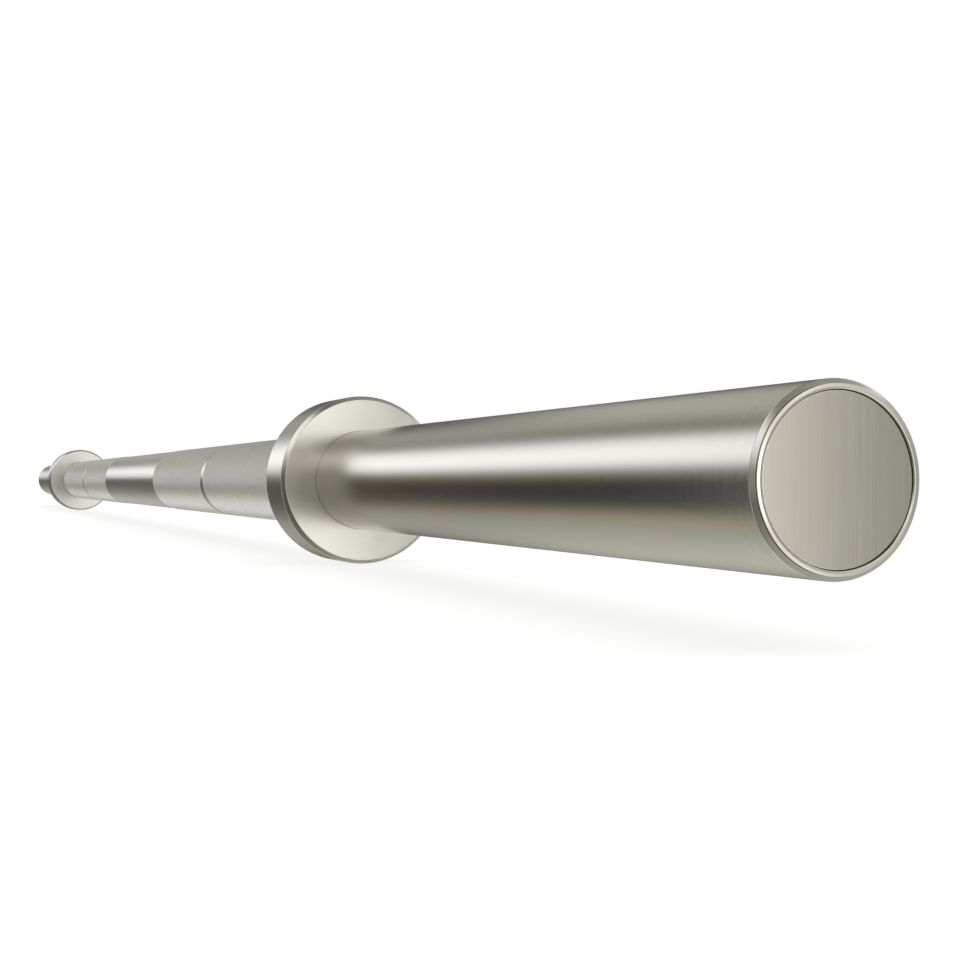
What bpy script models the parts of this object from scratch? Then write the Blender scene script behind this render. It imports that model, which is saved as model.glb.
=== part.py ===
"""A fat bar: a thick-gripped barbell whose two plate sleeves turn on bronze bushes.

The bar lies along X with the middle of its length at X = 0, and its collars stand on Z = 0.
Each end is built in a frame of its own, whose Z runs outwards along the bar's axis from the
collar's inner face. Sizes are in metres.
"""

import math

import bmesh
import bpy

# Grip
BETWEEN_COLLARS = 1.310
GRIP_DIAMETER = 0.0500
GRIP_WALL = 0.0080
GRIP_CHAMFER = 0.0008
KNURL_HEIGHT = 0.0004
SMOOTH_CENTRE_LENGTH = 0.330
SMOOTH_END_LENGTH = 0.0300
RING_MARK_SPACING = 0.770
RING_MARK_WIDTH = 0.0100

# Sleeve and collar
SLEEVE_DIAMETER = 0.0500
SLEEVE_LOADABLE_LENGTH = 0.390
SLEEVE_WAIST_WALL = 0.0060
SLEEVE_CHAMFER = 0.00125
SLEEVE_LIP_WIDTH = 0.0015
COLLAR_DIAMETER = 0.0850
COLLAR_WIDTH = 0.0350
COLLAR_CHAMFER = 0.0018

# Spindle that carries the sleeve
JOURNAL_DIAMETER = 0.0300
JOURNAL_CHAMFER = 0.0010
PLUG_LENGTH = 0.120

# Bushes, washers and seals
BUSH_WALL = 0.0042
BUSH_LENGTH = 0.0400
BUSH_CHAMFER = 0.0006
THRUST_WASHER_THICKNESS = 0.0020
THRUST_WASHER_INSET = 0.0006
SHAFT_SEAL_WIDTH = 0.0050
SHAFT_SEAL_LIP = 0.0012
RETAINING_WASHER_THICKNESS = 0.0050
RETAINING_WASHER_PLAY = 0.0010
LOCK_WASHER_THICKNESS = 0.0030
LOCK_WASHER_WIDTH = 0.0050
LOCK_WASHER_SPLIT = 0.0020

# Retaining bolt
BOLT_DIAMETER = 0.0160
BOLT_LENGTH = 0.0480
BOLT_HEAD_DIAMETER = 0.0240
BOLT_HEAD_HEIGHT = 0.0100
BOLT_HEAD_CHAMFER = 0.0010
BOLT_SOCKET_ACROSS_FLATS = 0.0140
BOLT_SOCKET_DEPTH = 0.0060
BOLT_HOLE_EXTRA_DEPTH = 0.0040

# End cap
CAP_RECESS = 0.0005
CAP_THICKNESS = 0.0060
CAP_CHAMFER = 0.0005
SPIGOT_LENGTH = 0.0100
CAP_GROOVE_WIDTH = 0.0030
CAP_GROOVE_DEPTH = 0.0020
CAP_TO_BOLT_HEAD = 0.0025

# Fits and faceting
CLEARANCE = 0.0003
OUTER_SIDES = 48
INNER_SIDES = 24
SMOOTH_ANGLE = math.radians(30)

# Radii and heights that follow from the sizes above
grip_radius = GRIP_DIAMETER / 2
tube_bore = grip_radius - GRIP_WALL
sleeve_radius = SLEEVE_DIAMETER / 2
journal_radius = JOURNAL_DIAMETER / 2
bolt_radius = BOLT_DIAMETER / 2
bush_bore = journal_radius + CLEARANCE
bush_radius = bush_bore + BUSH_WALL
bush_seat = bush_radius + CLEARANCE
waist_bore = sleeve_radius - SLEEVE_WAIST_WALL
cap_seat = sleeve_radius - SLEEVE_CHAMFER - SLEEVE_LIP_WIDTH

sleeve_end = COLLAR_WIDTH + SLEEVE_LOADABLE_LENGTH
thrust_washer_top = -CLEARANCE
grip_end = thrust_washer_top - THRUST_WASHER_THICKNESS - CLEARANCE
seal_bottom = CLEARANCE
inner_bush_bottom = seal_bottom + SHAFT_SEAL_WIDTH + CLEARANCE
inner_shoulder = inner_bush_bottom + BUSH_LENGTH + CLEARANCE

cap_top = sleeve_end - CAP_RECESS
cap_disc_bottom = cap_top - CAP_THICKNESS
cap_ledge = cap_disc_bottom - CLEARANCE
spigot_bottom = cap_disc_bottom - SPIGOT_LENGTH
bolt_head_top = spigot_bottom - CAP_TO_BOLT_HEAD
bolt_head_bottom = bolt_head_top - BOLT_HEAD_HEIGHT
lock_washer_bottom = bolt_head_bottom - CLEARANCE - LOCK_WASHER_THICKNESS
retaining_washer_bottom = lock_washer_bottom - CLEARANCE - RETAINING_WASHER_THICKNESS
journal_end = retaining_washer_bottom - CLEARANCE
end_washer_bottom = journal_end - THRUST_WASHER_THICKNESS
outer_bush_bottom = end_washer_bottom - CLEARANCE - BUSH_LENGTH
outer_shoulder = outer_bush_bottom - CLEARANCE


def clear_scene():
    """Removes what the scene holds."""
    for obj in list(bpy.data.objects):
        bpy.data.objects.remove(obj)


def new_collection(name):
    """Makes a collection in the scene."""
    collection = bpy.data.collections.new(name)
    bpy.context.scene.collection.children.link(collection)
    return collection


def new_material(name, colour, roughness, metallic):
    """Makes a Principled material from a linear colour."""
    material = bpy.data.materials.new(name)
    material.use_nodes = True
    shader = material.node_tree.nodes["Principled BSDF"]
    shader.inputs["Base Color"].default_value = (*colour, 1)
    shader.inputs["Roughness"].default_value = roughness
    shader.inputs["Metallic"].default_value = metallic
    material.diffuse_color = (*colour, 1)
    return material


def axis_frame(name, parent=None, location=(0, 0, 0), tilt=0.0):
    """Makes an empty on the bar's axis, turned by tilt about Y."""
    frame = bpy.data.objects.new(name, None)
    parts.objects.link(frame)
    frame.parent = parent
    frame.location = location
    frame.rotation_euler = (0, tilt, 0)
    return frame


def cutter(name, parent, shape, *transforms):
    """Makes a hidden cutting tool from a bmesh whose points go through the transforms in turn."""
    for change, value in transforms:
        change(shape, vec=value, verts=shape.verts)
    mesh = bpy.data.meshes.new(name)
    shape.to_mesh(mesh)
    shape.free()
    tool = bpy.data.objects.new(name, mesh)
    cutters.objects.link(tool)
    tool.parent = parent
    tool.hide_render = True
    tool.display_type = "WIRE"
    return tool


def turned(name, profile, material, parent, sides=INNER_SIDES, ring=True, cuts=()):
    """Turns a profile of (radius, height) points round the frame's Z, less the cuts.

    The profile runs down the outer side. A ring's profile closes on itself, and a solid
    piece's begins and ends on the axis. Flats touch the true circle, and begin at half a
    side from the frame's X, so that a flat faces down.
    """
    half_side = math.pi / sides
    to_corner = 1 / math.cos(half_side)
    mesh = bpy.data.meshes.new(name)
    points = [
        (r * to_corner * math.cos(half_side), r * to_corner * math.sin(half_side), z)
        for r, z in profile
    ]
    edges = [(i, i + 1) for i in range(len(points) - 1)]
    if ring:
        edges.append((len(points) - 1, 0))
    mesh.from_pydata(points, edges, [])
    piece = bpy.data.objects.new(name, mesh)
    parts.objects.link(piece)
    piece.parent = parent

    sweep = piece.modifiers.new("turn", "SCREW")
    sweep.axis = "Z"
    sweep.angle = math.tau
    sweep.steps = sweep.render_steps = sides
    sweep.use_merge_vertices = True
    sweep.merge_threshold = 0.00001
    for tool in cuts:
        cut = piece.modifiers.new(tool.name, "BOOLEAN")
        cut.object = tool
        cut.operation = "DIFFERENCE"
        cut.solver = "EXACT"
    pieces.append((piece, material))
    return piece


def washer(name, inner, outer, bottom, thickness, material, parent, **how):
    """Makes a flat ring."""
    top = bottom + thickness
    profile = [(inner, top), (outer, top), (outer, bottom), (inner, bottom)]
    return turned(name, profile, material, parent, **how)


def grip_tube(parent):
    """Makes the grip: a thick tube whose knurled stretches stand proud of its plain ones."""
    knurl = grip_radius + KNURL_HEIGHT
    end = BETWEEN_COLLARS / 2 + grip_end
    ring_outer = RING_MARK_SPACING / 2 + RING_MARK_WIDTH / 2
    ring_inner = RING_MARK_SPACING / 2 - RING_MARK_WIDTH / 2
    half = [
        (tube_bore, end),
        (grip_radius - GRIP_CHAMFER, end),
        (grip_radius, end - GRIP_CHAMFER),
        (grip_radius, end - SMOOTH_END_LENGTH),
        (knurl, end - SMOOTH_END_LENGTH),
        (knurl, ring_outer),
        (grip_radius, ring_outer),
        (grip_radius, ring_inner),
        (knurl, ring_inner),
        (knurl, SMOOTH_CENTRE_LENGTH / 2),
        (grip_radius, SMOOTH_CENTRE_LENGTH / 2),
    ]
    mirrored = [(r, -z) for r, z in reversed(half)]
    turned("grip_tube", half + mirrored, knurled_steel, parent, sides=OUTER_SIDES)


def stub_shaft(side, parent):
    """Makes the spindle: a plug in the grip tube, then a journal with a hole for the bolt."""
    plug = tube_bore - CLEARANCE
    hole = bolt_radius + CLEARANCE
    hole_bottom = bolt_head_bottom - BOLT_LENGTH - BOLT_HOLE_EXTRA_DEPTH
    profile = [
        (0, hole_bottom),
        (hole, hole_bottom),
        (hole, journal_end),
        (journal_radius - JOURNAL_CHAMFER, journal_end),
        (journal_radius, journal_end - JOURNAL_CHAMFER),
        (journal_radius, grip_end),
        (plug, grip_end),
        (plug, grip_end - PLUG_LENGTH + JOURNAL_CHAMFER),
        (plug - JOURNAL_CHAMFER, grip_end - PLUG_LENGTH),
        (0, grip_end - PLUG_LENGTH),
    ]
    turned(f"stub_shaft_{side}", profile, dark_steel, parent, ring=False)


def sleeve(side, parent):
    """Makes the plate sleeve: bush seats at both ends of its bore, and a seat for the cap."""
    lip = sleeve_radius - SLEEVE_CHAMFER
    profile = [
        (cap_seat, sleeve_end),
        (lip, sleeve_end),
        (sleeve_radius, sleeve_end - SLEEVE_CHAMFER),
        (sleeve_radius, 0),
        (bush_seat, 0),
        (bush_seat, inner_shoulder),
        (waist_bore, inner_shoulder),
        (waist_bore, outer_shoulder),
        (bush_seat, outer_shoulder),
        (bush_seat, cap_ledge),
        (cap_seat, cap_ledge),
    ]
    turned(f"sleeve_{side}", profile, satin_steel, parent, sides=OUTER_SIDES)


def collar(side, parent):
    """Makes the ring against which plates stop."""
    bore = sleeve_radius + CLEARANCE
    radius = COLLAR_DIAMETER / 2
    profile = [
        (bore, COLLAR_WIDTH),
        (radius - COLLAR_CHAMFER, COLLAR_WIDTH),
        (radius, COLLAR_WIDTH - COLLAR_CHAMFER),
        (radius, COLLAR_CHAMFER),
        (radius - COLLAR_CHAMFER, 0),
        (bore, 0),
    ]
    turned(f"collar_{side}", profile, satin_steel, parent, sides=OUTER_SIDES)


def bush(name, bottom, parent):
    """Makes a bronze bush with a small lead at each end of its outside."""
    top = bottom + BUSH_LENGTH
    profile = [
        (bush_bore, top),
        (bush_radius - BUSH_CHAMFER, top),
        (bush_radius, top - BUSH_CHAMFER),
        (bush_radius, bottom + BUSH_CHAMFER),
        (bush_radius - BUSH_CHAMFER, bottom),
        (bush_bore, bottom),
    ]
    turned(name, profile, bronze, parent)


def shaft_seal(side, parent):
    """Makes the rubber seal, whose bore rises to a lip half way along it."""
    top = seal_bottom + SHAFT_SEAL_WIDTH
    middle = (seal_bottom + top) / 2
    profile = [
        (bush_bore + SHAFT_SEAL_LIP, top),
        (bush_radius, top),
        (bush_radius, seal_bottom),
        (bush_bore + SHAFT_SEAL_LIP, seal_bottom),
        (bush_bore, middle),
    ]
    turned(f"shaft_seal_{side}", profile, rubber, parent)


def lock_washer(side, parent):
    """Makes the split spring washer under the bolt's head."""
    inner = bolt_radius + CLEARANCE
    outer = inner + LOCK_WASHER_WIDTH
    shape = bmesh.new()
    bmesh.ops.create_cube(shape, size=1)
    split = cutter(
        f"lock_washer_split_{side}",
        parent,
        shape,
        (bmesh.ops.scale, (2 * LOCK_WASHER_WIDTH, LOCK_WASHER_SPLIT, 2 * LOCK_WASHER_THICKNESS)),
        (
            bmesh.ops.translate,
            ((inner + outer) / 2, 0, lock_washer_bottom + LOCK_WASHER_THICKNESS / 2),
        ),
    )
    washer(
        f"lock_washer_{side}",
        inner,
        outer,
        lock_washer_bottom,
        LOCK_WASHER_THICKNESS,
        dark_steel,
        parent,
        cuts=[split],
    )


def retaining_bolt(side, parent):
    """Makes the socket head screw, its threads drawn as a plain shank."""
    shape = bmesh.new()
    corner = BOLT_SOCKET_ACROSS_FLATS / 2 / math.cos(math.pi / 6)
    bmesh.ops.create_cone(
        shape,
        cap_ends=True,
        segments=6,
        radius1=corner,
        radius2=corner,
        depth=2 * BOLT_SOCKET_DEPTH,
    )
    socket = cutter(
        f"bolt_socket_{side}", parent, shape, (bmesh.ops.translate, (0, 0, bolt_head_top))
    )
    head = BOLT_HEAD_DIAMETER / 2
    tip = bolt_head_bottom - BOLT_LENGTH
    profile = [
        (0, bolt_head_top),
        (head - BOLT_HEAD_CHAMFER, bolt_head_top),
        (head, bolt_head_top - BOLT_HEAD_CHAMFER),
        (head, bolt_head_bottom),
        (bolt_radius, bolt_head_bottom),
        (bolt_radius, tip + BOLT_HEAD_CHAMFER),
        (bolt_radius - BOLT_HEAD_CHAMFER, tip),
        (0, tip),
    ]
    turned(f"retaining_bolt_{side}", profile, dark_steel, parent, ring=False, cuts=[socket])


def end_cap(side, parent):
    """Makes the cap: a disc in the sleeve's mouth, on a spigot with a groove for its ring."""
    disc = cap_seat - CLEARANCE
    spigot = bush_seat - CLEARANCE
    groove = spigot - CAP_GROOVE_DEPTH
    middle = (cap_disc_bottom + spigot_bottom) / 2
    profile = [
        (0, cap_top),
        (disc - CAP_CHAMFER, cap_top),
        (disc, cap_top - CAP_CHAMFER),
        (disc, cap_disc_bottom),
        (spigot, cap_disc_bottom),
        (spigot, middle + CAP_GROOVE_WIDTH / 2),
        (groove, middle + CAP_GROOVE_WIDTH / 2),
        (groove, middle - CAP_GROOVE_WIDTH / 2),
        (spigot, middle - CAP_GROOVE_WIDTH / 2),
        (spigot, spigot_bottom),
        (0, spigot_bottom),
    ]
    turned(f"end_cap_{side}", profile, brushed_steel, parent, sides=OUTER_SIDES, ring=False)


def cap_seal_ring(side, parent):
    """Makes the rubber ring in the cap's groove, flattened where the groove and sleeve hold it."""
    outer = bush_seat - CLEARANCE
    inner = outer - CAP_GROOVE_DEPTH + CLEARANCE
    half_width = CAP_GROOVE_WIDTH / 2 - CLEARANCE
    corner = (outer - inner) / 3
    middle = (cap_disc_bottom + spigot_bottom) / 2
    profile = [
        (inner, middle + half_width - corner),
        (inner + corner, middle + half_width),
        (outer - corner, middle + half_width),
        (outer, middle + half_width - corner),
        (outer, middle - half_width + corner),
        (outer - corner, middle - half_width),
        (inner + corner, middle - half_width),
        (inner, middle - half_width + corner),
    ]
    turned(f"cap_seal_ring_{side}", profile, rubber, parent)


def bar_end(side, direction, bar):
    """Makes one end of the bar. What turns with the sleeve hangs on a frame of its own."""
    place = (direction * BETWEEN_COLLARS / 2, 0, 0)
    fixed = axis_frame(f"{side}_end", bar, place, direction * math.pi / 2)
    turning = axis_frame(f"{side}_sleeve_axis", fixed)

    stub_shaft(side, fixed)
    washer(
        f"thrust_washer_{side}",
        bush_bore,
        sleeve_radius - THRUST_WASHER_INSET,
        thrust_washer_top - THRUST_WASHER_THICKNESS,
        THRUST_WASHER_THICKNESS,
        bronze,
        fixed,
        sides=OUTER_SIDES,
    )
    washer(
        f"end_thrust_washer_{side}",
        bush_bore,
        bush_radius - RETAINING_WASHER_PLAY,
        end_washer_bottom,
        THRUST_WASHER_THICKNESS,
        bronze,
        fixed,
    )
    washer(
        f"retaining_washer_{side}",
        bolt_radius + CLEARANCE,
        bush_radius - RETAINING_WASHER_PLAY,
        retaining_washer_bottom,
        RETAINING_WASHER_THICKNESS,
        dark_steel,
        fixed,
    )
    lock_washer(side, fixed)
    retaining_bolt(side, fixed)

    sleeve(side, turning)
    collar(side, turning)
    shaft_seal(side, turning)
    bush(f"inner_bush_{side}", inner_bush_bottom, turning)
    bush(f"outer_bush_{side}", outer_bush_bottom, turning)
    end_cap(side, turning)
    cap_seal_ring(side, turning)


def finish(piece, material):
    """Turns the piece's modifiers into its mesh, and shades its round faces smooth."""
    graph = bpy.context.evaluated_depsgraph_get()
    mesh = bpy.data.meshes.new_from_object(piece.evaluated_get(graph))
    piece.modifiers.clear()
    piece.data = mesh
    mesh.name = piece.name
    mesh.shade_smooth()
    mesh.set_sharp_from_angle(angle=SMOOTH_ANGLE)
    mesh.materials.clear()
    mesh.materials.append(material)


clear_scene()
parts = new_collection("fat_bar")
cutters = new_collection("cutters")
pieces = []

knurled_steel = new_material("knurled_steel", (0.36, 0.35, 0.33), 0.42, 1.0)
satin_steel = new_material("satin_steel", (0.50, 0.48, 0.44), 0.28, 1.0)
brushed_steel = new_material("brushed_steel", (0.42, 0.40, 0.37), 0.34, 1.0)
dark_steel = new_material("dark_steel", (0.06, 0.06, 0.065), 0.45, 1.0)
bronze = new_material("bronze", (0.48, 0.27, 0.11), 0.38, 1.0)
rubber = new_material("rubber", (0.02, 0.02, 0.02), 0.75, 0.0)

bar_axis = axis_frame("bar_axis", location=(0, 0, COLLAR_DIAMETER / 2))
grip_frame = axis_frame("grip_frame", bar_axis, tilt=math.pi / 2)
grip_tube(grip_frame)
bar_end("right", 1, bar_axis)
bar_end("left", -1, bar_axis)

bpy.context.view_layer.update()
for piece, material in pieces:
    finish(piece, material)
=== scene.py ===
"""The looks of a fat bar: knurled grip, turned sleeves and collars, and brushed end caps.

Everything is in metres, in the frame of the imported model: the bar lies along X and its
collars stand on Z = 0. The camera looks along the bar from beyond its +X end.
"""

import math

import bpy
import numpy as np
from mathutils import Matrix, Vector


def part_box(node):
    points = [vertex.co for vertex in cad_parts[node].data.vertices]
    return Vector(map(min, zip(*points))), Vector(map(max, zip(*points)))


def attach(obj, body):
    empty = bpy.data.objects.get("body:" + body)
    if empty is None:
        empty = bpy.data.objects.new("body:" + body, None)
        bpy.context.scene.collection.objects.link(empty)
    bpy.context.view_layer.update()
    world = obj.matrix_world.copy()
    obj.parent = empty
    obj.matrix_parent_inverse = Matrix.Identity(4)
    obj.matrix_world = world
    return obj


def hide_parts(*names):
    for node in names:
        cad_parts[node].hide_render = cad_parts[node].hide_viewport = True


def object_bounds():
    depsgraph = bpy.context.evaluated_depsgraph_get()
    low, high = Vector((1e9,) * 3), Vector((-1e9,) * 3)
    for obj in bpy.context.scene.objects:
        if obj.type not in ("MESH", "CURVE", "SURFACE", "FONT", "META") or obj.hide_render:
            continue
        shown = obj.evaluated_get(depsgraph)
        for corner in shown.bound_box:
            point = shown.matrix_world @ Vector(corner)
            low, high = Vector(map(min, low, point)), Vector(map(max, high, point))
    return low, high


MM = 0.001

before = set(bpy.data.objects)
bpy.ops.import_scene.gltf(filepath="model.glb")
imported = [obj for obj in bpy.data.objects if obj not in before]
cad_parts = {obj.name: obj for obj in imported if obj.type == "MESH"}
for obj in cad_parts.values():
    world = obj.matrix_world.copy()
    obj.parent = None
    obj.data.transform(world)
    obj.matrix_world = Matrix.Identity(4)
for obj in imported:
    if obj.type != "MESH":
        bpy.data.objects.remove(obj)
cad_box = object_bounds()

# The bar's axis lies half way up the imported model
AXIS_HEIGHT = (cad_box[0].z + cad_box[1].z) / 2

# Turned pieces: points round the axis, steps in a rounded corner, and the guard points beside
# it, which stay within a part of their side and are left out where there is too little room
AROUND = 256
ARC_STEPS = 6
SMOOTH_ANGLE = math.radians(35)
GUARD = 0.12 * MM
GUARD_REACH = 0.48
GUARD_LEAST = 0.2
EDGE_RADIUS = 0.25 * MM

# Sleeve
SLEEVE_CHAMFER_WIDTH = 1.25 * MM
SLEEVE_CHAMFER_DEPTH = 0.90 * MM
SLEEVE_CHAMFER_EDGE = 0.375 * MM
SLEEVE_MOUTH_EDGE = 0.075 * MM

# Burnished lip round the cap
LIP_SEAT = 0.56 * MM
LIP_STEP = 0.39 * MM
LIP_GAP = 0.08 * MM
LIP_SLOPE_WIDTH = 0.85 * MM
LIP_CROWN = 0.06 * MM
LIP_DEPTH = 1.6 * MM
LIP_WIDTH = 1.5 * MM
LIP_OUTER_EDGE = 0.05 * MM
LIP_CREST_EDGE = 0.7 * MM
LIP_INNER_EDGE = 0.3 * MM

# End cap
CAP_GAP = 0.12 * MM
SPIGOT_GAP = 0.30 * MM
CAP_GROOVE_DEPTH = 2 * MM
CAP_DISC_THICKNESS = 6 * MM
CAP_EDGE = 0.30 * MM
CAP_BEVEL_WIDTH = 0.32 * MM
CAP_BEVEL_DROP = 0.07 * MM

# Collar, and the wall of the bush behind it, whose bore is the washer's too
COLLAR_CHAMFER = 1.8 * MM
COLLAR_EDGE = 0.75 * MM
COLLAR_GAP = 0.01 * MM
COLLAR_BORE_EDGE = 0.12 * MM
BUSH_WALL = 4.2 * MM

# Grip
KNURL_DEPTH = 0.30 * MM
KNURL_DIAMONDS_AROUND = 128
KNURL_DIAMOND_LENGTH = 1.6 * MM
KNURL_BORDER = 0.35 * MM
GRIP_WALL = 8.0 * MM
GRIP_BLANK_BELOW_CREST = 0.4 * MM
SMOOTH_CENTRE_LENGTH = 330 * MM
SMOOTH_END_LENGTH = 30 * MM
GRIP_CHAMFER = 0.8 * MM
RING_MARK_SPACING = 770 * MM
RING_MARK_WIDTH = 10 * MM
RING_MARK_DEPTH = 0.05 * MM

# Lathe marks: fine lines round the axis and, among them, short strokes of this width and length.
# The two share out how worn the metal is, and its roughness goes this far either way.
STROKE_WIDTH = 0.45 * MM
STROKE_LENGTH = 12 * MM
LINE_SHARE, STROKE_SHARE = 0.65, 0.35
ROUGHNESS_SPREAD = 0.12

# Brush marks of the cap: how wide and long they are, how far their pattern goes on into the
# metal, and how deep the scratches are
BRUSH_WIDTH = 0.18 * MM
BRUSH_LENGTH = 40 * MM
BRUSH_REACH = 25 * MM
BRUSH_DEPTH = 0.06e-6

# Fine patterns, by how many grains they have in a metre along X, Y and Z
GRIME_PER_METRE = (90, 140, 140)
MOTTLE_PER_METRE = (400, 400, 400)
BLOOM_PER_METRE = (700, 700, 700)


# Colours and nodes


def linear(hex_colour):
    """Turns an sRGB hex colour into the linear colour, with alpha 1, that Blender's nodes take."""
    value = np.array([int(hex_colour[i : i + 2], 16) for i in (1, 3, 5)]) / 255
    low, high = value / 12.92, ((value + 0.055) / 1.055) ** 2.4
    return (*np.where(value <= 0.04045, low, high).tolist(), 1.0)


def add_node(tree, kind, settings=(), inputs=()):
    """Adds a node, sets its properties, and links or sets its inputs by name or number."""
    node = tree.nodes.new(kind)
    for name, value in dict(settings).items():
        setattr(node, name, value)
    for name, value in dict(inputs).items():
        if isinstance(value, bpy.types.NodeSocket):
            tree.links.new(value, node.inputs[name])
        else:
            node.inputs[name].default_value = value
    return node


def set_ramp(node, stops):
    """Gives a colour ramp its stops, each a place from 0 to 1 and a linear colour."""
    elements = node.color_ramp.elements
    while len(elements) < len(stops):
        elements.new(0.5)
    for element, (place, colour) in zip(elements, stops):
        element.position = place
        element.color = colour
    return node


def new_material(name):
    """Makes a material and returns it with its node tree, its shader and its object coordinates."""
    material = bpy.data.materials.new(name)
    material.use_nodes = True
    tree = material.node_tree
    place = add_node(tree, "ShaderNodeTexCoord").outputs["Object"]
    return material, tree, tree.nodes["Principled BSDF"], place


def streaks(tree, place, scale, detail, roughness=0.6):
    """Adds noise stretched by a different scale along each of X, Y and Z."""
    stretched = add_node(
        tree, "ShaderNodeMapping", {}, {"Vector": place, "Scale": scale}
    ).outputs["Vector"]
    return add_node(
        tree,
        "ShaderNodeTexNoise",
        {},
        {"Vector": stretched, "Scale": 1.0, "Detail": detail, "Roughness": roughness},
    ).outputs["Fac"]


def shade_by(tree, shader, pattern, colours, roughness, start=0.3, end=0.7):
    """Lets one pattern, from start to end, set a metal's or rubber's colour and its roughness."""
    ramp = add_node(tree, "ShaderNodeValToRGB", {}, {"Fac": pattern})
    set_ramp(ramp, [(start, linear(colours[0])), (end, linear(colours[1]))])
    rough = add_node(
        tree,
        "ShaderNodeMapRange",
        {},
        {
            "Value": pattern,
            "From Min": start,
            "From Max": end,
            "To Min": roughness[0],
            "To Max": roughness[1],
        },
    )
    tree.links.new(ramp.outputs["Color"], shader.inputs["Base Color"])
    tree.links.new(rough.outputs["Result"], shader.inputs["Roughness"])


def along_profile(tree, place):
    """Gives each point its way along a turned profile, which is its X plus its distance from the
    axis, and that distance."""
    centred = add_node(
        tree, "ShaderNodeMapping", {}, {"Vector": place, "Location": (0, 0, -AXIS_HEIGHT)}
    ).outputs["Vector"]
    parts = add_node(tree, "ShaderNodeSeparateXYZ", {}, {"Vector": centred}).outputs
    flat = add_node(tree, "ShaderNodeCombineXYZ", {}, {"Y": parts["Y"], "Z": parts["Z"]}).outputs[0]
    reach = add_node(
        tree, "ShaderNodeVectorMath", {"operation": "LENGTH"}, {0: flat}
    ).outputs["Value"]
    way = add_node(
        tree, "ShaderNodeMath", {"operation": "ADD"}, {0: parts["X"], 1: reach}
    ).outputs["Value"]
    return way, reach


def turned_metal(name, colours, roughness, line_spacing, line_depth, anisotropy):
    """Makes a metal with fine lathe lines round the axis, on rims and faces alike."""
    material, tree, shader, place = new_material(name)
    way, _ = along_profile(tree, place)
    lines = add_node(
        tree,
        "ShaderNodeTexNoise",
        {"noise_dimensions": "1D"},
        {"W": way, "Scale": 1 / line_spacing, "Detail": 3.0, "Roughness": 0.65},
    ).outputs["Fac"]
    along, around = 1 / STROKE_WIDTH, 1 / STROKE_LENGTH
    strokes = streaks(tree, place, (along, around, around), 1.0)
    part = add_node(
        tree, "ShaderNodeMath", {"operation": "MULTIPLY"}, {0: strokes, 1: STROKE_SHARE}
    ).outputs["Value"]
    worn = add_node(
        tree, "ShaderNodeMath", {"operation": "MULTIPLY_ADD"}, {0: lines, 1: LINE_SHARE, 2: part}
    ).outputs["Value"]
    tangent = add_node(
        tree, "ShaderNodeTangent", {"direction_type": "RADIAL", "axis": "X"}
    ).outputs["Tangent"]
    bump = add_node(
        tree,
        "ShaderNodeBump",
        {},
        {"Height": lines, "Strength": 1.0, "Distance": line_depth},
    ).outputs["Normal"]
    smoothest, roughest = roughness * (1 - ROUGHNESS_SPREAD), roughness * (1 + ROUGHNESS_SPREAD)
    shade_by(tree, shader, worn, colours, (smoothest, roughest))
    tree.links.new(tangent, shader.inputs["Tangent"])
    tree.links.new(bump, shader.inputs["Normal"])
    shader.inputs["Metallic"].default_value = 1.0
    shader.inputs["Anisotropic"].default_value = anisotropy
    shader.inputs["Anisotropic Rotation"].default_value = 0.25
    return material


def satin_turned_steel():
    """Stainless steel, lathe-turned and satin finished: soft bands that run along the bar."""
    return turned_metal(
        "satin turned stainless steel",
        ("#C6C3BC", "#D4D1CB"),
        roughness=0.205,
        line_spacing=0.40 * MM,
        line_depth=0.12e-6,
        anisotropy=0.25,
    )


def burnished_steel():
    """Stainless steel, burnished: the lip round the cap, bright and almost without lines."""
    return turned_metal(
        "burnished stainless steel",
        ("#D2CFC8", "#D9D6CF"),
        roughness=0.16,
        line_spacing=0.30 * MM,
        line_depth=0.1e-6,
        anisotropy=0.20,
    )


def polished_blank_steel():
    """Cold-drawn steel, polished: the grip's plain stretches, whose bands are crisper."""
    return turned_metal(
        "polished drawn steel",
        ("#C8C4C0", "#CFCBC7"),
        roughness=0.22,
        line_spacing=0.50 * MM,
        line_depth=0.15e-6,
        anisotropy=0.20,
    )


def machined_bronze():
    """Bearing bronze, turned: a warm brown-gold with the marks of the tool."""
    return turned_metal(
        "turned bearing bronze",
        ("#A97F4C", "#C29A63"),
        roughness=0.32,
        line_spacing=0.30 * MM,
        line_depth=1.5e-6,
        anisotropy=0.50,
    )


def ground_steel():
    """Carbon steel, ground: the spindle's even, cool grey."""
    return turned_metal(
        "ground carbon steel",
        ("#A9A9A6", "#BDBDBA"),
        roughness=0.24,
        line_spacing=0.20 * MM,
        line_depth=0.8e-6,
        anisotropy=0.50,
    )


def knurled_steel():
    """Steel, diamond-knurled and satin finished: bright points, grooves darkened by painted shade.
    """
    material, tree, shader, place = new_material("diamond-knurled satin steel")
    _, reach = along_profile(tree, place)
    # Painted shade: the colour darkens from the crests down into the grooves, times grime noise
    height = add_node(
        tree,
        "ShaderNodeMapRange",
        {},
        {"Value": reach, "From Min": grip_crest - KNURL_DEPTH, "From Max": grip_crest},
    ).outputs["Result"]
    grime = streaks(tree, place, GRIME_PER_METRE, 4.0)
    shade_and_grime = add_node(
        tree, "ShaderNodeMath", {"operation": "MULTIPLY"}, {0: height, 1: grime}
    ).outputs["Value"]
    shade_by(tree, shader, shade_and_grime, ("#D2CFCB", "#EAE7E3"), (0.40, 0.30), 0.0, 0.6)
    shader.inputs["Metallic"].default_value = 1.0
    return material


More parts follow.
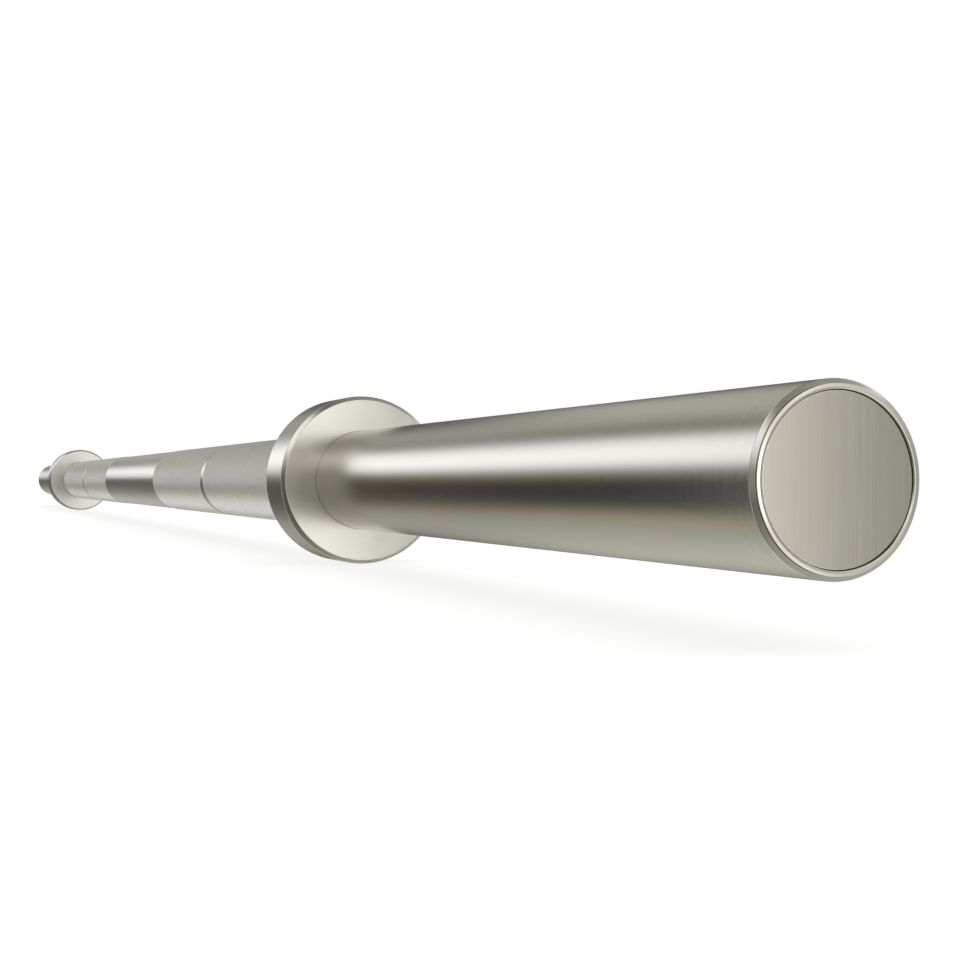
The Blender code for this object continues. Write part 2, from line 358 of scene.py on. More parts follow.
def brushed_steel():
    """Stainless steel plate, finely brushed upright: clear enough to mirror a soft gradient."""
    material, tree, shader, place = new_material("straight-brushed stainless steel")
    scratches = streaks(tree, place, (1 / BRUSH_REACH, 1 / BRUSH_WIDTH, 1 / BRUSH_LENGTH), 1.0)
    tangent = add_node(
        tree, "ShaderNodeTangent", {"direction_type": "RADIAL", "axis": "Z"}
    ).outputs["Tangent"]
    bump = add_node(
        tree,
        "ShaderNodeBump",
        {},
        {"Height": scratches, "Strength": 1.0, "Distance": BRUSH_DEPTH},
    ).outputs["Normal"]
    shade_by(tree, shader, scratches, ("#C9C6C1", "#CFCCC8"), (0.15, 0.18))
    tree.links.new(tangent, shader.inputs["Tangent"])
    tree.links.new(bump, shader.inputs["Normal"])
    shader.inputs["Metallic"].default_value = 1.0
    shader.inputs["Anisotropic"].default_value = 0.2
    return material


def black_oxide_steel():
    """Alloy steel, blackened in a hot oxide bath: near black and faintly mottled, with a sheen."""
    material, tree, shader, place = new_material("black oxide alloy steel")
    mottle = streaks(tree, place, MOTTLE_PER_METRE, 4.0)
    shade_by(tree, shader, mottle, ("#26262A", "#3A3A3D"), (0.38, 0.52))
    shader.inputs["Metallic"].default_value = 1.0
    return material


def nitrile_rubber():
    """Nitrile rubber, moulded: matt black with a fine bloom."""
    material, tree, shader, place = new_material("moulded nitrile rubber")
    bloom = streaks(tree, place, BLOOM_PER_METRE, 3.0)
    shade_by(tree, shader, bloom, ("#141414", "#232322"), (0.62, 0.80))
    return material


# Surfaces


def mesh_piece(name, points, faces, smooth=True):
    """Makes a piece at the origin from an array of points and a list of faces."""
    mesh = bpy.data.meshes.new(name)
    mesh.from_pydata(points.tolist(), [], faces)
    if smooth:
        mesh.shade_smooth()
        mesh.set_sharp_from_angle(angle=SMOOTH_ANGLE)
    piece = bpy.data.objects.new(name, mesh)
    bpy.context.scene.collection.objects.link(piece)
    return piece


def round_corners(corners, radii, closed=True):
    """Rounds the corners of an outline of (way out, radius) points.

    Each corner of radius q gets a circular arc that touches both of its sides: the arc
    starts and ends q / tan(half) from the corner, where half is half the angle between the
    sides. A point GUARD beyond each end of the arc keeps the shading of the flat sides
    flat, and sits short of half way along the side. A corner of radius 0 keeps one point
    and its two guards. An open outline keeps its first and last points as they are.
    """
    corners = np.asarray(corners, float)
    before, after = np.roll(corners, 1, axis=0), np.roll(corners, -1, axis=0)
    outline = []
    ends = () if closed else (0, len(corners) - 1)
    for number, (corner, last, following, q) in enumerate(zip(corners, before, after, radii)):
        if number in ends:
            outline.append(corner[None])
            continue
        reach_back = np.linalg.norm(last - corner)
        reach_on = np.linalg.norm(following - corner)
        a, b = (last - corner) / reach_back, (following - corner) / reach_on
        half = math.acos(np.clip(a @ b, -1, 1)) / 2
        if q == 0:
            arc = corner[None]
        else:
            centre = corner + (a + b) / np.linalg.norm(a + b) * q / math.sin(half)
            start = corner + a * q / math.tan(half) - centre
            end = corner + b * q / math.tan(half) - centre
            sweep = math.atan2(start[0] * end[1] - start[1] * end[0], start @ end)
            angle = np.linspace(0, sweep, ARC_STEPS + 1)[:, None]
            across = np.array([-start[1], start[0]])
            arc = centre + start * np.cos(angle) + across * np.sin(angle)
        for end, way, reach in ((arc[0], a, reach_back), (arc[-1], b, reach_on)):
            room = GUARD_REACH * reach - np.linalg.norm(end - corner)
            if room > GUARD_LEAST * GUARD:
                guard = (end + way * min(GUARD, room))[None]
                arc = np.vstack([guard, arc] if way is a else [arc, guard])
        outline.append(arc)
    return np.vstack(outline)


def ring_faces(rows, columns, closed):
    """Lists the quads between successive rows of a grid whose columns run round the axis."""
    row = np.arange(rows if closed else rows - 1)[:, None]
    column = np.arange(columns)[None, :]
    here, there = row * columns, (row + 1) % rows * columns
    nearby = (column + 1) % columns
    quads = np.stack([here + column, here + nearby, there + nearby, there + column], axis=-1)
    return quads.reshape(-1, 4)


def sweep_round(outline, angles):
    """Turns an outline of (x, r) round the bar's axis: the point of row k at angle a is
    (x_k, r_k cos a, axis + r_k sin a)."""
    x, r = np.asarray(outline).T
    return np.stack(
        [
            np.broadcast_to(x[:, None], (len(x), len(angles))),
            r[:, None] * np.cos(angles)[None, :],
            AXIS_HEIGHT + r[:, None] * np.sin(angles)[None, :],
        ],
        axis=-1,
    )


def turned_ring(name, start, sign, outline):
    """Makes a turned ring from a closed outline of (way out, radius), which begins at start on
    the axis and runs towards sign."""
    outline = np.asarray(outline, float) * (sign, 1) + (start, 0)
    angles = np.arange(AROUND) * math.tau / AROUND
    points = sweep_round(outline, angles).reshape(-1, 3)
    faces = ring_faces(len(outline), AROUND, closed=True)
    return mesh_piece(name, points, outward(faces, outline).tolist())


def outward(faces, outline):
    """Turns the faces round if the outline runs the other way about its inside."""
    x, r = outline.T
    area = np.sum(x * np.roll(r, -1) - np.roll(x, -1) * r)
    return faces if area < 0 else faces[:, ::-1]


def turned_disc(name, start, sign, outline):
    """Makes a turned solid whose outline begins and ends on the axis, each end one pole point."""
    outline = np.asarray(outline, float) * (sign, 1) + (start, 0)
    angles = np.arange(AROUND) * math.tau / AROUND
    sides = sweep_round(outline[1:-1], angles).reshape(-1, 3)
    poles = np.array([[x, 0, AXIS_HEIGHT] for x in outline[[0, -1], 0]])
    rows = len(outline) - 2
    quads = outward(ring_faces(rows, AROUND, closed=False), outline)
    column = np.arange(AROUND)
    nearby = (column + 1) % AROUND
    first = np.stack([nearby, column, np.full(AROUND, rows * AROUND)], axis=-1)
    last_row, last_pole = (rows - 1) * AROUND, np.full(AROUND, rows * AROUND + 1)
    last = np.stack([last_row + column, last_row + nearby, last_pole], axis=-1)
    fans = outward(np.vstack([first, last]), outline)
    faces = quads.tolist() + fans.tolist()
    return mesh_piece(name, np.vstack([sides, poles]), faces)


def knurled_ring(name, low, high, crest, bore):
    """Makes a stretch of diamond knurl between two places on the axis, closed by its bore.

    Rows lie half a diamond apart along the axis, and columns half a diamond apart round it.
    Where row plus column is even the radius is the crest's, and where it is odd it is the
    groove's, so that each even point is a pyramid's tip. Each square of the grid is split
    along its groove. The border rows and the bore's rows close the surface.
    """
    valley = crest - KNURL_DEPTH
    columns = 2 * KNURL_DIAMONDS_AROUND
    count = 2 * round((high - low - 2 * KNURL_BORDER) / KNURL_DIAMOND_LENGTH) + 1
    x = np.linspace(low + KNURL_BORDER, high - KNURL_BORDER, count)
    angles = np.arange(columns) * math.tau / columns
    row, column = np.arange(count)[:, None], np.arange(columns)[None, :]
    tips = (row + column) % 2 == 0
    tips[[0, -1]] = False
    radius = np.where(tips, crest, valley)
    knurl = np.stack(
        [
            np.broadcast_to(x[:, None], radius.shape),
            radius * np.cos(angles),
            AXIS_HEIGHT + radius * np.sin(angles),
        ],
        axis=-1,
    )
    before = sweep_round([(low, bore), (low, valley)], angles)
    after = sweep_round([(high, valley), (high, bore)], angles)
    points = np.concatenate([before, knurl, after]).reshape(-1, 3)

    quads = ring_faces(count + 4, columns, closed=True).reshape(count + 4, columns, 4)
    plain = np.concatenate([quads[:2], quads[count + 1 :]]).reshape(-1, 4)
    cells = quads[2 : count + 1]
    near_tip = (row[:-1] + column) % 2 == 0
    # Corners run: near same column, near next column, far next column, far same column
    near, near_next, far_next, far = (cells[..., k] for k in range(4))
    split_one = np.stack([near, far_next, far, near, near_next, far_next], axis=-1)
    split_two = np.stack([near_next, far_next, far, near, near_next, far], axis=-1)
    triangles = np.where(near_tip[..., None], split_two, split_one).reshape(-1, 3)
    return mesh_piece(name, points, plain.tolist() + triangles.tolist(), smooth=False)


# The bar's pieces


def size_of(node):
    """Gives a node's lowest and highest X and its radius."""
    low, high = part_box(node)
    return low.x, high.x, (high.z - low.z) / 2


def fit(piece, body, material, slot, *nodes):
    """Gives a piece its material and body, and hides the nodes it stands for; slot is not used."""
    piece.data.materials.append(material)
    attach(piece, body)
    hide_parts(*nodes)
    return piece


def grip():
    """Makes the grip: four knurled stretches, with polished steel between and beyond them."""
    _, end, crest = size_of("grip_tube")
    blank = crest - GRIP_BLANK_BELOW_CREST
    bore = blank - GRIP_WALL
    mark_in = (RING_MARK_SPACING - RING_MARK_WIDTH) / 2
    mark_out = (RING_MARK_SPACING + RING_MARK_WIDTH) / 2
    mark = blank - RING_MARK_DEPTH
    centre = SMOOTH_CENTRE_LENGTH / 2
    plain_end = end - SMOOTH_END_LENGTH
    outline = [(-centre, bore), (-centre, blank), (centre, blank), (centre, bore)]
    plain = [("grip_smooth_centre", 1, outline)]
    knurled = []
    for side, sign in (("right", 1), ("left", -1)):
        outline = [(mark_in, bore), (mark_in, mark), (mark_out, mark), (mark_out, bore)]
        plain.append((f"grip_ring_mark_{side}", sign, outline))
        corners = [
            (plain_end, bore),
            (plain_end, blank),
            (end - GRIP_CHAMFER, blank),
            (end, blank - GRIP_CHAMFER),
            (end, bore),
        ]
        outline = round_corners(corners, [0, 0, EDGE_RADIUS, EDGE_RADIUS, 0])
        plain.append((f"grip_smooth_end_{side}", sign, outline))
        knurled.append((f"knurl_inner_{side}", sign * centre, sign * mark_in))
        knurled.append((f"knurl_outer_{side}", sign * mark_out, sign * plain_end))
    for name, sign, outline in plain:
        piece = turned_ring(name, 0, sign, outline)
        fit(piece, "grip", polished, "knurled_grip", "grip_tube")
    for name, start, end in knurled:
        piece = knurled_ring(name, min(start, end), max(start, end), crest, bore)
        fit(piece, "grip", knurled_metal, "knurled_grip", "grip_tube")


def sleeve(side, sign):
    """Makes a sleeve: a plain tube, chamfered at its rim and counterbored for the cap."""
    low, high, radius = size_of(f"sleeve_{side}")
    length = high - low
    cap_low, cap_high, _ = size_of(f"end_cap_{side}")
    start = low if sign > 0 else high
    cap_back = (cap_low if sign > 0 else -cap_high) - abs(start)
    spigot = (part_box(f"cap_seal_ring_{side}")[1].z - AXIS_HEIGHT) + SPIGOT_GAP
    lip_outer = radius - SLEEVE_CHAMFER_WIDTH
    corners = [
        (0, spigot),
        (0, radius),
        (length - LIP_SEAT - SLEEVE_CHAMFER_DEPTH, radius),
        (length - LIP_SEAT, lip_outer),
        (length - LIP_DEPTH, lip_outer),
        (length - LIP_DEPTH, lip_outer - LIP_WIDTH),
        (cap_back, lip_outer - LIP_WIDTH),
        (cap_back, spigot),
    ]
    edges = [0, EDGE_RADIUS, SLEEVE_CHAMFER_EDGE, SLEEVE_MOUTH_EDGE, 0, 0, 0, 0]
    outline = round_corners(corners, edges)
    piece = turned_ring(f"plate_sleeve_{side}", start, sign, outline)
    fit(piece, f"{side}_sleeve", satin, "satin_sleeve", f"sleeve_{side}")


def lip(side, sign):
    """Makes the sleeve's burnished lip: it slopes up to a crest and rolls over towards the cap."""
    low, high, radius = size_of(f"sleeve_{side}")
    length = high - low
    outer = radius - SLEEVE_CHAMFER_WIDTH - LIP_GAP
    inner = radius - SLEEVE_CHAMFER_WIDTH - LIP_WIDTH
    crest = outer - LIP_SLOPE_WIDTH
    corners = [
        (length - LIP_DEPTH + LIP_GAP, inner),
        (length - LIP_DEPTH + LIP_GAP, outer),
        (length - LIP_SEAT + LIP_STEP, outer),
        (length, crest),
        (length - LIP_CROWN, inner),
    ]
    outline = round_corners(corners, [0, 0, LIP_OUTER_EDGE, LIP_CREST_EDGE, LIP_INNER_EDGE])
    outline[:, 0] += length - outline[:, 0].max()
    piece = turned_ring(f"sleeve_lip_{side}", low if sign > 0 else high, sign, outline)
    fit(piece, f"{side}_sleeve", burnished, "satin_sleeve", f"sleeve_{side}")


def collar(side, sign):
    """Makes a collar: a heavy ring with small chamfers whose edges are broken."""
    low, high, radius = size_of(f"collar_{side}")
    bore = size_of(f"sleeve_{side}")[2] + COLLAR_GAP
    width = high - low
    c = COLLAR_CHAMFER
    corners = [
        (0, bore),
        (0, radius - c),
        (c, radius),
        (width - c, radius),
        (width, radius - c),
        (width, bore),
    ]
    outline = round_corners(corners, [COLLAR_BORE_EDGE] + [COLLAR_EDGE] * 4 + [COLLAR_BORE_EDGE])
    piece = turned_ring(f"stop_collar_{side}", low if sign > 0 else high, sign, outline)
    fit(piece, f"{side}_sleeve", satin, "satin_collar", f"collar_{side}")


def end_cap(side, sign):
    """Makes an end cap: a plain brushed disc with a broken edge, on a grooved spigot."""
    low, high, _ = size_of(f"end_cap_{side}")
    sleeve_radius = size_of(f"sleeve_{side}")[2]
    radius = sleeve_radius - SLEEVE_CHAMFER_WIDTH - LIP_WIDTH - CAP_GAP
    ring_low, ring_high, ring_radius = size_of(f"cap_seal_ring_{side}")
    length = high - low
    start = low if sign > 0 else high
    groove_in = (ring_low - low if sign > 0 else high - ring_high) - SPIGOT_GAP
    groove_out = (ring_high - low if sign > 0 else high - ring_low) + SPIGOT_GAP
    groove = ring_radius - CAP_GROOVE_DEPTH
    disc_back = length - CAP_DISC_THICKNESS
    corners = [
        (0, 0),
        (0, ring_radius),
        (groove_in, ring_radius),
        (groove_in, groove),
        (groove_out, groove),
        (groove_out, ring_radius),
        (disc_back, ring_radius),
        (disc_back, radius),
        (length - CAP_BEVEL_DROP, radius),
        (length, radius - CAP_BEVEL_WIDTH),
        (length, 0),
    ]
    edges = [0, EDGE_RADIUS, 0, 0, 0, 0, 0, EDGE_RADIUS, CAP_EDGE, CAP_EDGE, 0]
    outline = round_corners(corners, edges, closed=False)
    piece = turned_disc(f"brushed_cap_{side}", start, sign, outline)
    fit(piece, f"{side}_sleeve", brushed, "brushed_cap", f"end_cap_{side}")


def thrust_washer(side, sign):
    """Makes the bronze washer that shows as a thin line between the grip and the collar."""
    low, high, radius = size_of(f"thrust_washer_{side}")
    bore = (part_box(f"inner_bush_{side}")[1].z - AXIS_HEIGHT) - BUSH_WALL
    width = high - low
    corners = [(0, bore), (0, radius), (width, radius), (width, bore)]
    outline = round_corners(corners, [0, EDGE_RADIUS, EDGE_RADIUS, 0])
    piece = turned_ring(f"bronze_washer_{side}", low if sign > 0 else high, sign, outline)
    fit(piece, "grip", bronze, "bronze", f"thrust_washer_{side}")


def dress_inner_nodes():
    """Gives each solid that stays as it is the material of its real counterpart."""
    finishes = {
        "stub_shaft": ground,
        "end_thrust_washer": bronze,
        "retaining_washer": black_oxide,
        "lock_washer": black_oxide,
        "retaining_bolt": black_oxide,
        "shaft_seal": rubber,
        "inner_bush": bronze,
        "outer_bush": bronze,
        "cap_seal_ring": rubber,
    }
    for name, material in finishes.items():
        for side in ("right", "left"):
            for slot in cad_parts[f"{name}_{side}"].material_slots:
                slot.material = material


# Studio

CAMERA_TO_END = 281.7 * MM
CAMERA_ASIDE = 209.1 * MM
CAMERA_TURN = math.radians(20.90)
FOCAL_LENGTH = 51.94
SENSOR_WIDTH = 36
CAMERA_SHIFT = 0.0300


def camera():
    """Places the camera beyond the +X end, level with the bar's axis."""
    data = bpy.data.cameras.new("camera")
    data.lens = FOCAL_LENGTH
    data.sensor_width = SENSOR_WIDTH
    data.shift_x = CAMERA_SHIFT
    data.clip_start = 0.01
    data.clip_end = 100
    eye = bpy.data.objects.new("camera", data)
    bpy.context.scene.collection.objects.link(eye)
    eye.location = (cad_box[1].x + CAMERA_TO_END, -CAMERA_ASIDE, AXIS_HEIGHT)
    eye.rotation_euler = (math.pi / 2, 0, math.pi / 2 - CAMERA_TURN)
    bpy.context.scene.camera = eye


# Tints of the studio's strips
WHITE = "#FFFFFF"
IVORY = "#FFFEF2"
CREAM = "#FFFAEA"
SAND = "#FFF3D7"
COOL = "#FDFFFC"

# What the steel mirrors. A stop is an angle in degrees, how bright it is beside the background's
# white, and its tint. All but the last strip go by the angle round the bar: 0 is level on the
# camera's side, 90 is overhead. The last lies level beyond the near end, and goes by the angle
# aside: 0 is straight along the bar, and the camera's side is below 0. The brightest stop
# sets the studio's strength.
STUDIO_STRENGTH = 2.4

# Matt surfaces are lit evenly instead, at this strength
EVEN_STRENGTH = 0.6

# Across the bar: what it shows when it is seen from its side
ACROSS_BAR = [
    (-180, 0.58, IVORY), (-150, 0.60, IVORY), (-127, 0.60, IVORY), (-111, 0.50, IVORY),
    (-95, 0.52, IVORY), (-76, 0.38, IVORY), (-56, 0.25, CREAM), (-40, 0.17, CREAM),
    (-15, 0.12, CREAM), (5, 0.15, CREAM), (18, 0.60, WHITE), (30, 1.40, WHITE),
    (58, 1.40, WHITE), (68, 0.45, IVORY), (76, 0.18, IVORY), (90, 0.30, IVORY),
    (111, 0.42, IVORY), (127, 0.42, IVORY), (140, 0.55, IVORY), (149, 1.15, WHITE),
    (157, 0.60, IVORY), (180, 0.58, IVORY),
]
# Between across and along, towards the far end: what the knurl's slopes show
BESIDE_GRIP = [
    (-180, 0.10, IVORY), (-150, 0.15, IVORY), (-130, 0.45, IVORY), (-115, 1.00, WHITE),
    (-100, 1.46, WHITE), (-86, 1.46, WHITE), (-74, 1.30, WHITE), (-64, 0.78, IVORY),
    (-54, 0.26, IVORY), (-46, 0.42, IVORY), (-38, 0.92, WHITE), (-30, 1.12, WHITE),
    (-20, 1.12, WHITE), (-10, 1.04, WHITE), (0, 0.78, IVORY), (8, 0.50, IVORY),
    (16, 0.32, IVORY), (24, 0.18, IVORY), (34, 0.12, IVORY), (46, 0.13, IVORY),
    (56, 0.26, IVORY), (64, 0.56, IVORY), (74, 0.82, IVORY), (86, 0.72, IVORY),
    (98, 0.42, IVORY), (112, 0.12, IVORY), (126, 0.05, IVORY), (150, 0.06, IVORY),
    (180, 0.10, IVORY),
]
# Along the bar, towards the far end: what the sleeve shows near its rim
ALONG_BAR = [
    (-180, 0.04, IVORY), (-168, 0.06, IVORY), (-154, 0.34, IVORY), (-125, 0.58, IVORY),
    (-108, 0.59, IVORY), (-81, 0.53, IVORY), (-69, 0.49, IVORY), (-57, 0.46, SAND),
    (-47, 0.30, SAND), (-37, 0.10, SAND), (-28, 0.015, SAND), (-14, 0.00, SAND),
    (-4, 0.01, SAND), (3, 0.10, SAND), (9, 0.23, IVORY), (15, 0.54, WHITE), (20, 1.00, WHITE),
    (27, 1.42, WHITE), (37, 1.58, WHITE), (47, 1.50, WHITE), (54, 1.24, WHITE),
    (60, 0.78, WHITE), (66, 0.40, IVORY), (73, 0.27, IVORY), (81, 0.34, IVORY),
    (90, 0.47, IVORY), (106, 0.55, IVORY), (128, 0.52, IVORY), (146, 0.28, IVORY),
    (158, 0.09, IVORY), (170, 0.03, IVORY), (180, 0.04, IVORY),
]
# Closer to the bar's direction, towards the far end: what the sleeve shows near its collar
ALONG_FAR = [
    (-180, 0.03, IVORY), (-150, 0.05, IVORY), (-140, 0.12, IVORY), (-126, 0.29, IVORY),
    (-94, 0.42, IVORY), (-70, 0.34, IVORY), (-57, 0.19, SAND), (-47, 0.12, SAND),
    (-37, 0.09, SAND), (-28, 0.07, SAND), (-14, 0.06, SAND), (-5, 0.10, SAND), (2, 0.19, SAND),
    (8, 0.36, IVORY), (14, 0.72, WHITE), (19, 1.10, WHITE), (27, 1.45, WHITE),
    (37, 1.55, WHITE), (47, 1.40, WHITE), (54, 1.00, WHITE), (60, 0.56, WHITE),
    (66, 0.34, IVORY), (75, 0.28, IVORY), (90, 0.45, IVORY), (104, 0.36, IVORY),
    (117, 0.20, IVORY), (128, 0.07, IVORY), (140, 0.02, IVORY), (180, 0.02, IVORY),
]
# Closer still, towards the far end: what the grip's smooth centre shows
ALONG_GRIP = [
    (-180, 0.10, IVORY), (-160, 0.36, IVORY), (-120, 0.62, IVORY), (-100, 0.70, IVORY),
    (-88, 0.64, IVORY), (-76, 0.53, IVORY), (-65, 0.42, IVORY), (-54, 0.32, IVORY),
    (-44, 0.24, IVORY), (-30, 0.20, IVORY), (-12, 0.20, IVORY), (-4, 0.22, IVORY),
    (3, 0.40, IVORY), (8, 0.80, IVORY), (14, 1.35, WHITE), (24, 1.55, WHITE), (35, 1.62, WHITE),
    (44, 1.46, WHITE), (53, 0.90, WHITE), (61, 0.34, WHITE), (72, 0.24, IVORY),
    (88, 0.40, IVORY), (104, 0.52, IVORY), (125, 0.55, IVORY), (150, 0.35, IVORY),
    (180, 0.10, IVORY),
]
# Almost straight towards the far end: what the far sleeve shows
FAR_END = [
    (-180, 0.12, IVORY), (-90, 0.62, IVORY), (-60, 0.42, IVORY), (-25, 0.12, IVORY),
    (10, 0.06, IVORY), (60, 0.10, IVORY), (110, 0.05, IVORY), (180, 0.05, IVORY),
]
# Past the near end, above and below: what the lip and the collars' faces show
ROUND_PAST_END = [
    (-180, 0.80, WHITE), (-150, 0.80, WHITE), (-146, 0.87, WHITE), (-143, 1.07, WHITE),
    (-140, 1.35, WHITE), (-133, 1.05, WHITE), (-125, 0.85, WHITE), (-104, 0.62, IVORY),
    (-88, 0.52, IVORY), (-74, 0.46, IVORY), (-60, 0.36, IVORY), (-48, 0.27, IVORY),
    (-30, 0.19, IVORY), (-12, 0.22, IVORY), (0, 0.38, IVORY), (12, 0.55, IVORY),
    (24, 0.85, WHITE), (34, 1.20, WHITE), (48, 1.40, WHITE), (57, 1.20, WHITE),
    (64, 0.75, IVORY), (71, 0.50, IVORY), (78, 0.35, IVORY), (90, 0.38, IVORY),
    (104, 0.43, IVORY), (122, 0.70, IVORY), (133, 1.05, WHITE), (140, 1.35, WHITE),
    (143, 1.07, WHITE), (146, 0.87, WHITE), (150, 0.80, WHITE), (180, 0.80, WHITE),
]
# Past the near end, level with the bar: what the cap and the collars' faces show
LEVEL_PAST_END = [
    (-90, 0.15, SAND), (-45, 0.30, IVORY), (-32, 0.36, IVORY), (-16, 0.36, IVORY),
    (-11, 0.42, IVORY), (-5, 1.05, COOL), (2, 1.22, COOL), (6, 0.95, COOL), (9, 1.80, COOL),
    (12, 2.40, COOL), (16, 2.40, COOL), (17.2, 0.70, IVORY), (19, 0.25, IVORY),
    (23, 0.30, IVORY), (26.5, 0.80, IVORY), (29, 1.35, IVORY), (32.8, 1.35, IVORY),
    (34.6, 0.78, IVORY), (36.3, 0.52, IVORY), (38.2, 0.38, IVORY), (40, 0.33, IVORY),
    (46, 0.36, IVORY), (56, 0.45, IVORY), (65, 0.50, IVORY), (90, 0.40, IVORY),
]


def strip_colour(brightness, tint):
    """Gives a tint this brightness, measured in its green, as a share of the studio's strength."""
    red, green, blue, _ = linear(tint)
    share = brightness / green / STUDIO_STRENGTH
    return (red * share, brightness / STUDIO_STRENGTH, blue * share, 1.0)


def studio_world():
    """Lights the studio evenly, and gives the steel long strips and flags to mirror.

    The camera sees plain white. Glossy and transmitted rays see the studio's walls: strips
    that run along the bar, so that the steel shows light and dark bands as turned steel does.
    """
    world = bpy.data.worlds.new("studio")
    world.use_nodes = True
    bpy.context.scene.world = world
    tree = world.node_tree
    tree.nodes.clear()

    ray = add_node(tree, "ShaderNodeTexCoord").outputs["Generated"]
    parts = add_node(tree, "ShaderNodeSeparateXYZ", {}, {"Vector": ray}).outputs
    x, y, z = parts["X"], parts["Y"], parts["Z"]
    to_camera = add_node(
        tree, "ShaderNodeMath", {"operation": "MULTIPLY"}, {0: y, 1: -1.0}
    ).outputs["Value"]
    around = add_node(
        tree, "ShaderNodeMath", {"operation": "ARCTAN2"}, {0: z, 1: to_camera}
    ).outputs["Value"]
    aside = add_node(tree, "ShaderNodeMath", {"operation": "ARCSINE"}, {0: y}).outputs["Value"]
    upright = add_node(tree, "ShaderNodeMath", {"operation": "ABSOLUTE"}, {0: z}).outputs["Value"]

    strips = []
    for angle, half, stops in (
        (around, 180, ACROSS_BAR),
        (around, 180, BESIDE_GRIP),
        (around, 180, ALONG_BAR),
        (around, 180, ALONG_FAR),
        (around, 180, ALONG_GRIP),
        (around, 180, FAR_END),
        (around, 180, ROUND_PAST_END),
        (aside, 90, LEVEL_PAST_END),
    ):
        place = add_node(
            tree,
            "ShaderNodeMapRange",
            {},
            {"Value": angle, "From Min": -math.radians(half), "From Max": math.radians(half)},
        ).outputs["Result"]
        strip = add_node(tree, "ShaderNodeValToRGB", {}, {"Fac": place})
        lights = [
            (0.5 + degrees / (2 * half), strip_colour(brightness, tint))
            for degrees, brightness, tint in stops
        ]
        set_ramp(strip, lights)
        strips.append(strip.outputs["Color"])
    walls, beside, along, along_far, along_grip, far_end, round_past, level_past = strips

    # Each layer covers those before it where the direction's part goes from start to full
    for above, limits in (
        (beside, [(x, -0.30, -0.50)]),
        (along, [(x, -0.760, -0.785)]),
        (along_far, [(x, -0.88, -0.95)]),
        (along_grip, [(x, -0.970, -0.980)]),
        (far_end, [(x, -0.9925, -0.9950)]),
        (round_past, [(x, 0.35, 0.75)]),
        (level_past, [(x, 0.15, 0.45), (upright, 0.24, 0.08)]),
    ):
        share = 1.0
        for part, start, full in limits:
            reached = add_node(
                tree,
                "ShaderNodeMapRange",
                {"interpolation_type": "SMOOTHSTEP"},
                {"Value": part, "From Min": start, "From Max": full},
            ).outputs["Result"]
            share = add_node(
                tree, "ShaderNodeMath", {"operation": "MULTIPLY"}, {0: share, 1: reached}
            ).outputs["Value"]
        walls = add_node(
            tree, "ShaderNodeMixRGB", {}, {"Fac": share, "Color1": walls, "Color2": above}
        ).outputs["Color"]

    seen = add_node(tree, "ShaderNodeLightPath").outputs
    mirrored = add_node(
        tree,
        "ShaderNodeMath",
        {"operation": "MAXIMUM"},
        {0: seen["Is Glossy Ray"], 1: seen["Is Transmission Ray"]},
    ).outputs["Value"]
    even, studio, white = (
        add_node(
            tree, "ShaderNodeBackground", {}, {"Color": colour, "Strength": strength}
        ).outputs["Background"]
        for colour, strength in (
            (linear("#F4F3F1"), EVEN_STRENGTH),
            (walls, STUDIO_STRENGTH),
            (linear("#FFFFFF"), 1.0),
        )
    )
    lit = add_node(tree, "ShaderNodeMixShader", {}, {"Fac": mirrored, 1: even, 2: studio})
    shown = add_node(
        tree,
        "ShaderNodeMixShader",
        {},
        {"Fac": seen["Is Camera Ray"], 1: lit.outputs["Shader"], 2: white},
    )
    add_node(tree, "ShaderNodeOutputWorld", {}, {"Surface": shown.outputs["Shader"]})


LAMP_STRENGTH = 1.5
LAMP_SPREAD = math.radians(60)
LAMP_TILT = (math.radians(-18), math.radians(8), 0)


def soft_lamp():
    """Hangs one wide, soft light overhead, for the floor's shadow and the unpolished pieces."""
    data = bpy.data.lights.new("overhead softbox", "SUN")
    data.energy = LAMP_STRENGTH
    data.angle = LAMP_SPREAD
    lamp = bpy.data.objects.new("overhead softbox", data)
    bpy.context.scene.collection.objects.link(lamp)
    lamp.rotation_euler = LAMP_TILT
    lamp.visible_glossy = False


# The floor: how far it reaches, the share of it that glows where it is looked at, and that glow
FLOOR_REACH = 30.0
FLOOR_SHINE = 0.75
FLOOR_GLOW = 1.12


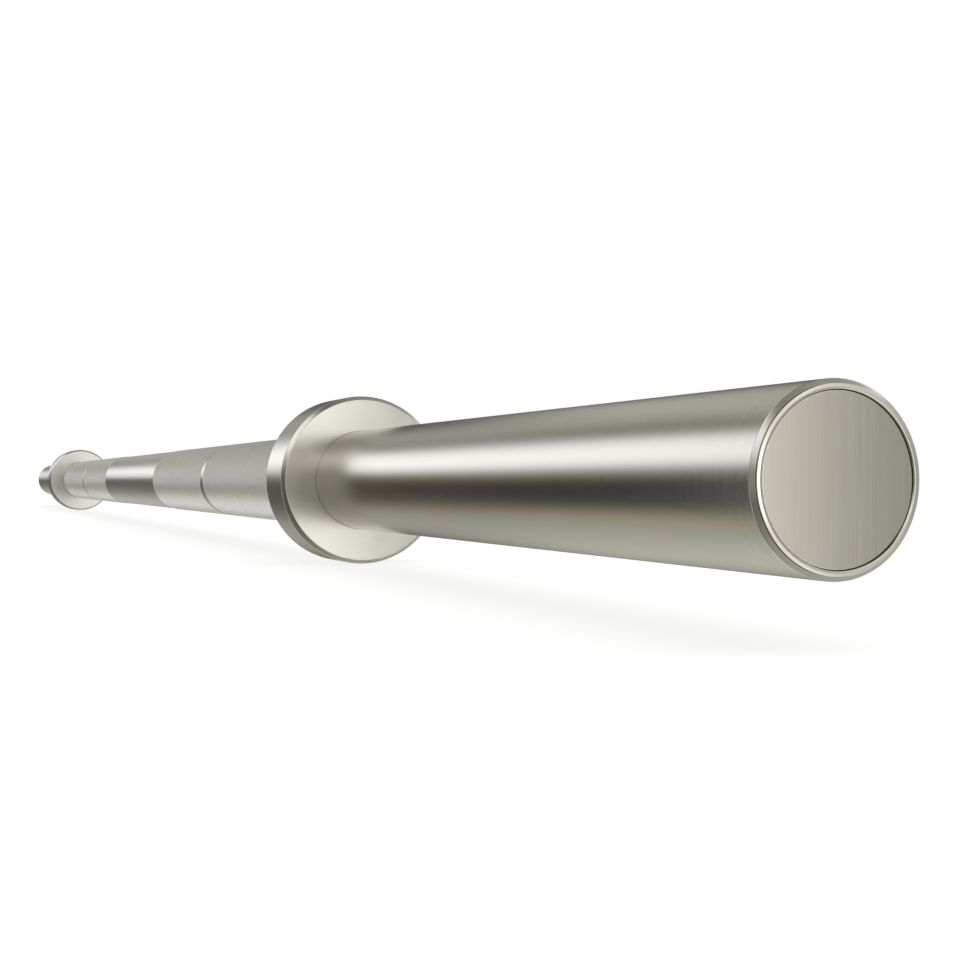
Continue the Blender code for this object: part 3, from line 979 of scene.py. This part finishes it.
def floor():
    """Lays the pale floor, which keeps the bar's shadow."""
    square = np.array([(-1, -1, 0), (1, -1, 0), (1, 1, 0), (-1, 1, 0)]) * FLOOR_REACH
    ground_sheet = mesh_piece("studio_floor", square, [(0, 1, 2, 3)], smooth=False)
    material = bpy.data.materials.new("pale studio paper")
    material.use_nodes = True
    tree = material.node_tree
    tree.nodes.clear()
    seen = add_node(tree, "ShaderNodeLightPath").outputs
    looked_at = add_node(
        tree,
        "ShaderNodeMath",
        {"operation": "MAXIMUM"},
        {0: seen["Is Camera Ray"], 1: seen["Is Glossy Ray"]},
    ).outputs["Value"]
    looked_at = add_node(
        tree,
        "ShaderNodeMath",
        {"operation": "MAXIMUM"},
        {0: looked_at, 1: seen["Is Transmission Ray"]},
    ).outputs["Value"]
    share = add_node(
        tree, "ShaderNodeMath", {"operation": "MULTIPLY"}, {0: looked_at, 1: FLOOR_SHINE}
    ).outputs["Value"]
    paper = add_node(
        tree, "ShaderNodeBsdfDiffuse", {}, {"Color": linear("#E9E8E6")}
    ).outputs["BSDF"]
    glow = add_node(
        tree, "ShaderNodeEmission", {}, {"Color": linear("#FFFFFF"), "Strength": FLOOR_GLOW}
    ).outputs["Emission"]
    both = add_node(
        tree, "ShaderNodeMixShader", {}, {"Fac": share, 1: paper, 2: glow}
    ).outputs["Shader"]
    add_node(tree, "ShaderNodeOutputMaterial", {}, {"Surface": both})
    ground_sheet.data.materials.append(material)
    ground_sheet.visible_glossy = False


grip_crest = size_of("grip_tube")[2]
satin = satin_turned_steel()
burnished = burnished_steel()
polished = polished_blank_steel()
knurled_metal = knurled_steel()
brushed = brushed_steel()
bronze = machined_bronze()
ground = ground_steel()
black_oxide = black_oxide_steel()
rubber = nitrile_rubber()

camera()
studio_world()
soft_lamp()
floor()
grip()
for side, sign in (("right", 1), ("left", -1)):
    sleeve(side, sign)
    lip(side, sign)
    collar(side, sign)
    end_cap(side, sign)
    thrust_washer(side, sign)
dress_inner_nodes()

bpy.context.scene.view_settings.view_transform = "Standard"
